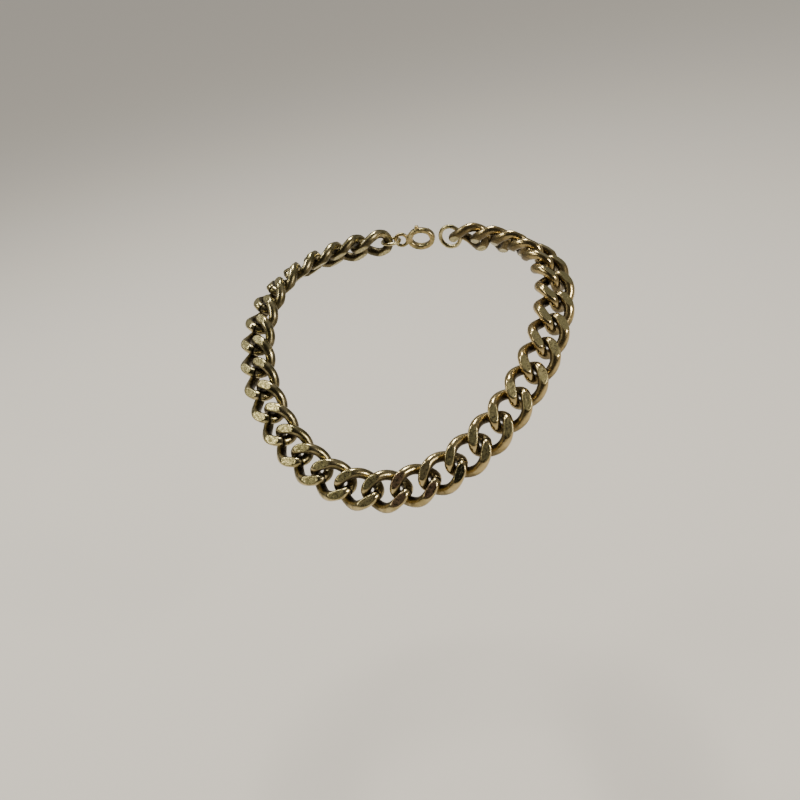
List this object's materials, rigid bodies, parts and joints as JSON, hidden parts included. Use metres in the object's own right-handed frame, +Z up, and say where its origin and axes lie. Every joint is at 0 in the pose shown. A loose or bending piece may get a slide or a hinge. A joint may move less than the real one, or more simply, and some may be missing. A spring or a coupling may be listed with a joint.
{
  "type": "curb chain necklace",
  "caption": "Chunky necklace of twisted round-wire curb links with filed facets, closed at the nape by a lobster clasp, jump ring and catch ring, lying as worn round a neck.",
  "frame": {"origin": "on the neck's axis, level with the chain's centreline at the two sides of the neck", "axes": "+Z up along the wearer's neck, -Y to the wearer's front, +X to the side that somebody facing the wearer sees on the right"},
  "size_m": [0.1524, 0.1462, 0.075],
  "materials": {
    "links": "aged brass, tumbled, with filed facets",
    "rings": "aged brass wire",
    "clasp": "aged cast brass, polished on its edges",
    "rivet": "brass, spread cold at both heads",
    "spring": "drawn spring wire"
  },
  "bodies": {
    "link_left_16": {"link_left_16": "links"},
    "link_left_15": {"link_left_15": "links"},
    "link_left_14": {"link_left_14": "links"},
    "link_left_13": {"link_left_13": "links"},
    "link_left_12": {"link_left_12": "links"},
    "link_left_11": {"link_left_11": "links"},
    "link_left_10": {"link_left_10": "links"},
    "link_left_09": {"link_left_09": "links"},
    "link_left_08": {"link_left_08": "links"},
    "link_left_07": {"link_left_07": "links"},
    "link_left_06": {"link_left_06": "links"},
    "link_left_05": {"link_left_05": "links"},
    "link_left_04": {"link_left_04": "links"},
    "link_left_03": {"link_left_03": "links"},
    "link_left_02": {"link_left_02": "links"},
    "link_left_01": {"link_left_01": "links"},
    "link_front": {"link_front": "links"},
    "link_right_01": {"link_right_01": "links"},
    "link_right_02": {"link_right_02": "links"},
    "link_right_03": {"link_right_03": "links"},
    "link_right_04": {"link_right_04": "links"},
    "link_right_05": {"link_right_05": "links"},
    "link_right_06": {"link_right_06": "links"},
    "link_right_07": {"link_right_07": "links"},
    "link_right_08": {"link_right_08": "links"},
    "link_right_09": {"link_right_09": "links"},
    "link_right_10": {"link_right_10": "links"},
    "link_right_11": {"link_right_11": "links"},
    "link_right_12": {"link_right_12": "links"},
    "link_right_13": {"link_right_13": "links"},
    "link_right_14": {"link_right_14": "links"},
    "link_right_15": {"link_right_15": "links"},
    "link_right_16": {"link_right_16": "links"},
    "catch_ring": {"catch_ring": "rings"},
    "jump_ring": {"jump_ring": "rings"},
    "clasp": {"clasp_body": "clasp", "clasp_rivet": "rivet", "clasp_spring": "spring"},
    "gate": {"clasp_gate": "clasp"}
  },
  "joints": [
    {"name": "link_right_01_turn", "type": "hinge", "parent": "link_front", "child": "link_right_01", "pos_m": [0.01276, -0.07011, -0.04764], "axis": [-0.0627, 0.9979, 0.0167], "range_deg": [0, 26]},
    {"name": "link_right_02_turn", "type": "hinge", "parent": "link_right_01", "child": "link_right_02", "pos_m": [0.01973, -0.06823, -0.04575], "axis": [0.2769, 0.2638, -0.924], "range_deg": [0, 26]},
    {"name": "link_right_03_turn", "type": "hinge", "parent": "link_right_02", "child": "link_right_03", "pos_m": [0.03463, -0.0614, -0.03933], "axis": [-0.3996, 0.9155, -0.0464], "range_deg": [0, 26]},
    {"name": "link_right_04_turn", "type": "hinge", "parent": "link_right_03", "child": "link_right_04", "pos_m": [0.03995, -0.05767, -0.03594], "axis": [0.3295, 0.3708, -0.8683], "range_deg": [0, 26]},
    {"name": "link_right_05_turn", "type": "hinge", "parent": "link_right_04", "child": "link_right_05", "pos_m": [0.05105, -0.04714, -0.02723], "axis": [-0.6349, 0.764, -0.1147], "range_deg": [0, 26]},
    {"name": "link_right_06_turn", "type": "hinge", "parent": "link_right_05", "child": "link_right_06", "pos_m": [0.05483, -0.04222, -0.02343], "axis": [0.3075, 0.4118, -0.8578], "range_deg": [0, 26]},
    {"name": "link_right_07_turn", "type": "hinge", "parent": "link_right_06", "child": "link_right_07", "pos_m": [0.06219, -0.02899, -0.01444], "axis": [-0.7883, 0.5795, -0.2068], "range_deg": [0, 26]},
    {"name": "link_right_08_turn", "type": "hinge", "parent": "link_right_07", "child": "link_right_08", "pos_m": [0.06444, -0.02307, -0.01084], "axis": [0.2903, 0.3855, -0.8758], "range_deg": [0, 26]},
    {"name": "link_right_09_turn", "type": "hinge", "parent": "link_right_08", "child": "link_right_09", "pos_m": [0.06772, -0.00767, -0.00298], "axis": [-0.8739, 0.3554, -0.3316], "range_deg": [0, 26]},
    {"name": "link_right_10_turn", "type": "hinge", "parent": "link_right_09", "child": "link_right_10", "pos_m": [0.06828, -0.00095, -0.0001], "axis": [0.2244, 0.3627, -0.9045], "range_deg": [0, 26]},
    {"name": "link_right_11_turn", "type": "hinge", "parent": "link_right_10", "child": "link_right_11", "pos_m": [0.06621, 0.01544, 0.00596], "axis": [-0.9137, 0.0345, -0.4048], "range_deg": [0, 26]},
    {"name": "link_right_12_turn", "type": "hinge", "parent": "link_right_11", "child": "link_right_12", "pos_m": [0.06393, 0.0223, 0.00768], "axis": [0.0792, 0.2089, -0.9747], "range_deg": [0, 26]},
    {"name": "link_right_13_turn", "type": "hinge", "parent": "link_right_12", "child": "link_right_13", "pos_m": [0.05513, 0.03733, 0.01019], "axis": [-0.8354, -0.4329, -0.3388], "range_deg": [-5, 26]},
    {"name": "link_right_14_turn", "type": "hinge", "parent": "link_right_13", "child": "link_right_14", "pos_m": [0.0502, 0.04283, 0.01052], "axis": [-0.032, -0.0175, -0.9993], "range_deg": [-5, 26]},
    {"name": "link_right_15_turn", "type": "hinge", "parent": "link_right_14", "child": "link_right_15", "pos_m": [0.03623, 0.05354, 0.01078], "axis": [-0.6041, -0.7844, -0.1407], "range_deg": [-5, 26]},
    {"name": "link_right_16_turn", "type": "hinge", "parent": "link_right_15", "child": "link_right_16", "pos_m": [0.02967, 0.05686, 0.01063], "axis": [-0.039, -0.1738, -0.984], "range_deg": [-5, 26]},
    {"name": "link_left_01_turn", "type": "hinge", "parent": "link_front", "child": "link_left_01", "pos_m": [-0.00477, -0.07119, -0.04871], "axis": [-0.0482, -0.1934, 0.9799], "range_deg": [0, 26]},
    {"name": "link_left_02_turn", "type": "hinge", "parent": "link_left_01", "child": "link_left_02", "pos_m": [-0.01213, -0.07018, -0.04768], "axis": [-0.3159, -0.9485, -0.0216], "range_deg": [0, 26]},
    {"name": "link_left_03_turn", "type": "hinge", "parent": "link_left_02", "child": "link_left_03", "pos_m": [-0.02816, -0.06495, -0.04264], "axis": [0.2063, -0.2732, 0.9396], "range_deg": [0, 26]},
    {"name": "link_left_04_turn", "type": "hinge", "parent": "link_left_03", "child": "link_left_04", "pos_m": [-0.03402, -0.06171, -0.03956], "axis": [-0.5774, -0.8131, 0.0738], "range_deg": [0, 26]},
    {"name": "link_left_05_turn", "type": "hinge", "parent": "link_left_04", "child": "link_left_05", "pos_m": [-0.04634, -0.05221, -0.03132], "axis": [0.3139, -0.3565, 0.88], "range_deg": [0, 26]},
    {"name": "link_left_06_turn", "type": "hinge", "parent": "link_left_05", "child": "link_left_06", "pos_m": [-0.0506, -0.04764, -0.02757], "axis": [-0.7262, -0.6547, 0.2098], "range_deg": [0, 26]},
    {"name": "link_left_07_turn", "type": "hinge", "parent": "link_left_06", "child": "link_left_07", "pos_m": [-0.05917, -0.03523, -0.01851], "axis": [0.3516, -0.3813, 0.855], "range_deg": [0, 26]},
    {"name": "link_left_08_turn", "type": "hinge", "parent": "link_left_07", "child": "link_left_08", "pos_m": [-0.06194, -0.02961, -0.01479], "axis": [-0.8394, -0.4437, 0.314], "range_deg": [0, 26]},
    {"name": "link_left_09_turn", "type": "hinge", "parent": "link_left_08", "child": "link_left_09", "pos_m": [-0.06661, -0.01485, -0.00642], "axis": [0.3213, -0.388, 0.8638], "range_deg": [0, 26]},
    {"name": "link_left_10_turn", "type": "hinge", "parent": "link_left_09", "child": "link_left_10", "pos_m": [-0.06768, -0.00835, -0.00326], "axis": [-0.9195, -0.1445, 0.3654], "range_deg": [0, 24]},
    {"name": "link_left_11_turn", "type": "hinge", "parent": "link_left_10", "child": "link_left_11", "pos_m": [-0.06772, 0.00805, 0.00314], "axis": [0.2273, -0.3537, 0.9073], "range_deg": [0, 26]},
    {"name": "link_left_12_turn", "type": "hinge", "parent": "link_left_11", "child": "link_left_12", "pos_m": [-0.06641, 0.01484, 0.00575], "axis": [-0.8889, 0.2962, 0.3494], "range_deg": [0, 16]},
    {"name": "link_left_13_turn", "type": "hinge", "parent": "link_left_12", "child": "link_left_13", "pos_m": [-0.05971, 0.03071, 0.00935], "axis": [0.0962, -0.259, 0.9611], "range_deg": [-5, 16]},
    {"name": "link_left_14_turn", "type": "hinge", "parent": "link_left_13", "child": "link_left_14", "pos_m": [-0.05553, 0.0368, 0.01004], "axis": [-0.687, 0.6858, 0.2402], "range_deg": [-5, 22]},
    {"name": "link_left_15_turn", "type": "hinge", "parent": "link_left_14", "child": "link_left_15", "pos_m": [-0.04297, 0.04911, 0.01081], "axis": [0.0168, -0.0791, 0.9967], "range_deg": [-5, 10]},
    {"name": "link_left_16_turn", "type": "hinge", "parent": "link_left_15", "child": "link_left_16", "pos_m": [-0.03683, 0.05317, 0.01072], "axis": [-0.3963, 0.9155, 0.0693], "range_deg": [-5, 26]},
    {"name": "catch_ring_swing", "type": "hinge", "parent": "link_right_16", "child": "catch_ring", "pos_m": [0.01285, 0.06201, 0.01039], "axis": [-0.2925, -0.9562, 0.004], "range_deg": [-20, 25]},
    {"name": "jump_ring_swing", "type": "hinge", "parent": "link_left_16", "child": "jump_ring", "pos_m": [-0.02069, 0.06017, 0.01051], "axis": [-0.0305, 0.1012, 0.9944], "range_deg": [-15, 20]},
    {"name": "clasp_swing", "type": "hinge", "parent": "jump_ring", "child": "clasp", "pos_m": [-0.01513, 0.06115, 0.01042], "axis": [-0.2548, 0.967, -0.0011], "range_deg": [-15, 15]},
    {"name": "gate_open", "type": "hinge", "parent": "clasp", "child": "gate", "pos_m": [-0.00884, 0.06142, 0.01288], "axis": [-0.0782, 0.9933, 0.0852], "range_deg": [0, 24], "stiffness_Nm_per_rad": 0.004, "springref_deg": -34.38}
  ]
}
